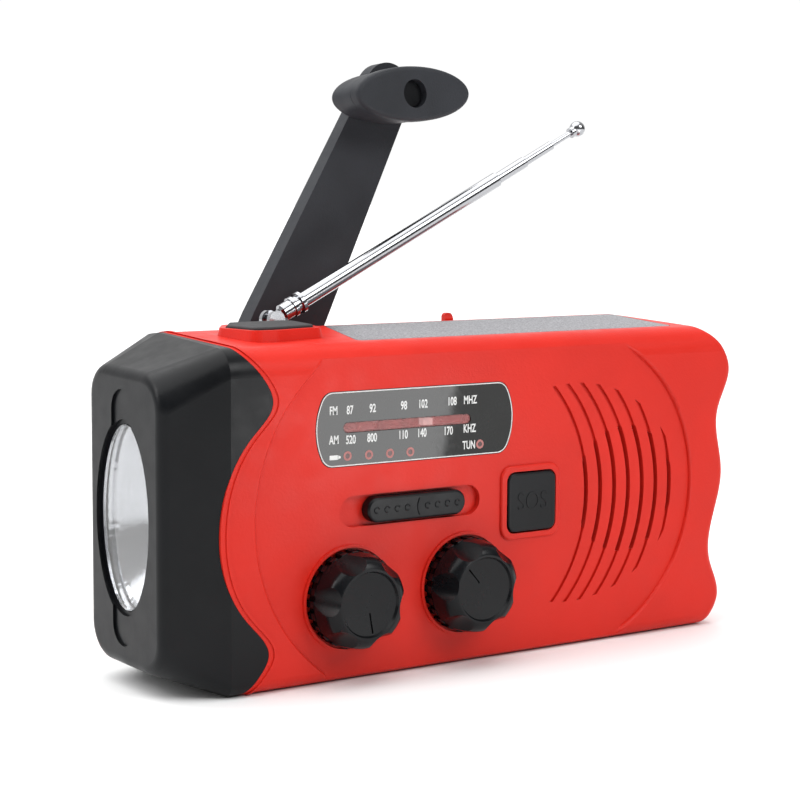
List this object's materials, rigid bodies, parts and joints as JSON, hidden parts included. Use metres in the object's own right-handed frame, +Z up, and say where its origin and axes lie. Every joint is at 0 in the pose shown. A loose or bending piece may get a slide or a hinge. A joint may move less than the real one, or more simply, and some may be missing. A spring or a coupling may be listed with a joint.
{
  "type": "hand crank emergency radio",
  "caption": "Portable emergency radio with torch head, tuning dial, knobs, speaker grille, solar top, telescopic antenna and fold-out hand crank.",
  "frame": {"origin": "centre of the flat base, in the plane that the radio stands on", "axes": "+Z up, -Y out of the face with the dial, +X along the length away from the torch head"},
  "size_m": [0.1271, 0.0543, 0.1119],
  "materials": {
    "red_plastic": "satin red ABS, finely spark-eroded",
    "black_plastic": "satin black ABS",
    "black_rubber": "soft matt rubber",
    "clear_plastic": "clear polycarbonate",
    "dial_tint": "smoke-tinted acrylic with printed scale",
    "dial_print": "dark printed plate",
    "pointer_paint": "pale red moulded pointer",
    "indicator": "small red indicator",
    "mirror_plastic": "vacuum-plated bowl",
    "led": "white LED with yellow phosphor",
    "circuit_board": "green solder mask",
    "solar_glass": "textured clear cover",
    "solar_cell": "dark blue-grey cell sheet",
    "chrome": "chrome-plated brass",
    "steel": "plain steel",
    "gear_plastic": "natural acetal",
    "component_plastic": "dark moulded component",
    "cell_sleeve": "heat-shrunk sleeve",
    "ferrite": "sintered ferrite",
    "copper_winding": "enamelled copper wire",
    "paper_cone": "black paper cone"
  },
  "bodies": {
    "housing": {"front_shell": "red_plastic", "rear_shell": "red_plastic", "torch_head": "black_plastic", "torch_lens": "clear_plastic", "reflector": "mirror_plastic", "led_board": "circuit_board", "torch_led": "led", "solar_glass": "solar_glass", "solar_cells": "solar_cell", "torch_switch": "component_plastic", "torch_switch_board": "circuit_board", "dial_window": "dial_tint", "dial_plate": "dial_print", "dial_leds": "indicator", "volume_control": "component_plastic", "tuning_capacitor": "component_plastic", "band_switch": "component_plastic", "sos_switch": "component_plastic", "speaker_frame": "steel", "speaker_cone": "paper_cone", "speaker_magnet": "ferrite", "main_board": "circuit_board", "board_screws": "steel", "battery_cell": "cell_sleeve", "battery_holder": "component_plastic", "ferrite_rod": "ferrite", "ferrite_coil": "copper_winding", "usb_socket": "steel", "crank_bush": "gear_plastic", "idler_axle": "steel", "generator_case": "steel", "gear_plate": "steel", "shell_screws": "steel"},
    "torch_button": {"torch_button": "black_rubber"},
    "dial_pointer": {"dial_pointer": "pointer_paint"},
    "volume_knob": {"volume_knob": "black_plastic", "volume_shaft": "steel"},
    "tuning_knob": {"tuning_knob": "black_plastic", "tuning_shaft": "steel", "tuning_pinion": "gear_plastic"},
    "band_slider": {"band_slider": "black_plastic"},
    "sos_button": {"sos_button": "black_plastic"},
    "port_cover": {"port_cover": "black_rubber"},
    "crank_hub": {"crank_hub": "black_plastic", "crank_gear": "gear_plastic", "hinge_pin": "steel"},
    "crank_arm": {"crank_arm": "black_plastic", "grip_pin": "steel"},
    "crank_grip": {"crank_grip": "black_plastic", "grip_cap": "black_plastic"},
    "idler": {"idler_gear": "gear_plastic"},
    "rotor": {"generator_rotor": "steel", "rotor_pinion": "gear_plastic"},
    "antenna_foot": {"antenna_foot": "chrome", "antenna_pin": "steel"},
    "antenna_1": {"antenna_knuckle": "chrome", "antenna_tube_1": "chrome"},
    "antenna_2": {"antenna_tube_2": "chrome"},
    "antenna_3": {"antenna_tube_3": "chrome"},
    "antenna_4": {"antenna_rod": "chrome"}
  },
  "joints": [
    {"name": "crank_spin", "type": "hinge", "parent": "housing", "child": "crank_hub", "pos_m": [-0.0273, 0.018, 0.042], "axis": [0, -1, 0], "continuous": true},
    {"name": "idler_spin", "type": "hinge", "parent": "housing", "child": "idler", "pos_m": [-0.01317, 0.01, 0.03686], "axis": [0, -1, 0], "continuous": true},
    {"name": "rotor_spin", "type": "hinge", "parent": "housing", "child": "rotor", "pos_m": [-0.00313, 0.005, 0.03686], "axis": [0, -1, 0], "continuous": true},
    {"name": "crank_fold", "type": "hinge", "parent": "crank_hub", "child": "crank_arm", "pos_m": [-0.0273, 0.0234, 0.042], "axis": [-0.866, 0, 0.5], "range_deg": [-7.5, 172]},
    {"name": "grip_spin", "type": "hinge", "parent": "crank_arm", "child": "crank_grip", "pos_m": [0.00876, 0.02971, 0.10446], "axis": [-0.0436, 0.9962, -0.0755], "continuous": true},
    {"name": "antenna_swivel", "type": "hinge", "parent": "housing", "child": "antenna_foot", "pos_m": [-0.0265, 0.012, 0.06], "axis": [0, 0, -1], "range_deg": [0, 180]},
    {"name": "antenna_tilt", "type": "hinge", "parent": "antenna_foot", "child": "antenna_1", "pos_m": [-0.0265, 0.012, 0.0625], "axis": [0, -1, 0], "range_deg": [-26.8, 63.2]},
    {"name": "antenna_slide_2", "type": "slide", "parent": "antenna_1", "child": "antenna_2", "axis": [0.8926, 0, 0.4509], "range_m": [-0.007, 0.036]},
    {"name": "antenna_slide_3", "type": "slide", "parent": "antenna_2", "child": "antenna_3", "axis": [0.8926, 0, 0.4509], "range_m": [-0.0069, 0.035]},
    {"name": "antenna_slide_4", "type": "slide", "parent": "antenna_3", "child": "antenna_4", "axis": [0.8926, 0, 0.4509], "range_m": [-0.0052, 0.034]},
    {"name": "volume_turn", "type": "hinge", "parent": "housing", "child": "volume_knob", "pos_m": [-0.0275, -0.016, 0.0148], "axis": [0, 1, 0], "range_deg": [0, 300]},
    {"name": "tuning_turn", "type": "hinge", "parent": "housing", "child": "tuning_knob", "pos_m": [-0.0024, -0.016, 0.0148], "axis": [0, 1, 0], "range_deg": [-176.29, 83.74]},
    {"name": "pointer_slide", "type": "slide", "parent": "housing", "child": "dial_pointer", "axis": [1, 0, 0], "range_m": [-0.016, 0.0076]},
    {"name": "band_slide", "type": "slide", "parent": "housing", "child": "band_slider", "axis": [1, 0, 0], "range_m": [-0.0032, 0.0032]},
    {"name": "sos_press", "type": "slide", "parent": "housing", "child": "sos_button", "axis": [0, 1, 0], "range_m": [0, 0.001], "stiffness_N_per_m": 400},
    {"name": "torch_press", "type": "slide", "parent": "housing", "child": "torch_button", "axis": [0, 0, -1], "range_m": [0, 0.001], "stiffness_N_per_m": 400},
    {"name": "port_flap", "type": "hinge", "parent": "housing", "child": "port_cover", "pos_m": [0.031, 0.01575, 0.0083], "axis": [-1, 0, 0], "range_deg": [0, 110]}
  ],
  "couplings": [
    {"joint": "idler_spin", "follows": "crank_spin", "ratio": -4},
    {"joint": "rotor_spin", "follows": "crank_spin", "ratio": 16},
    {"joint": "pointer_slide", "follows": "tuning_turn", "m_per_rad": 0.0052}
  ]
}
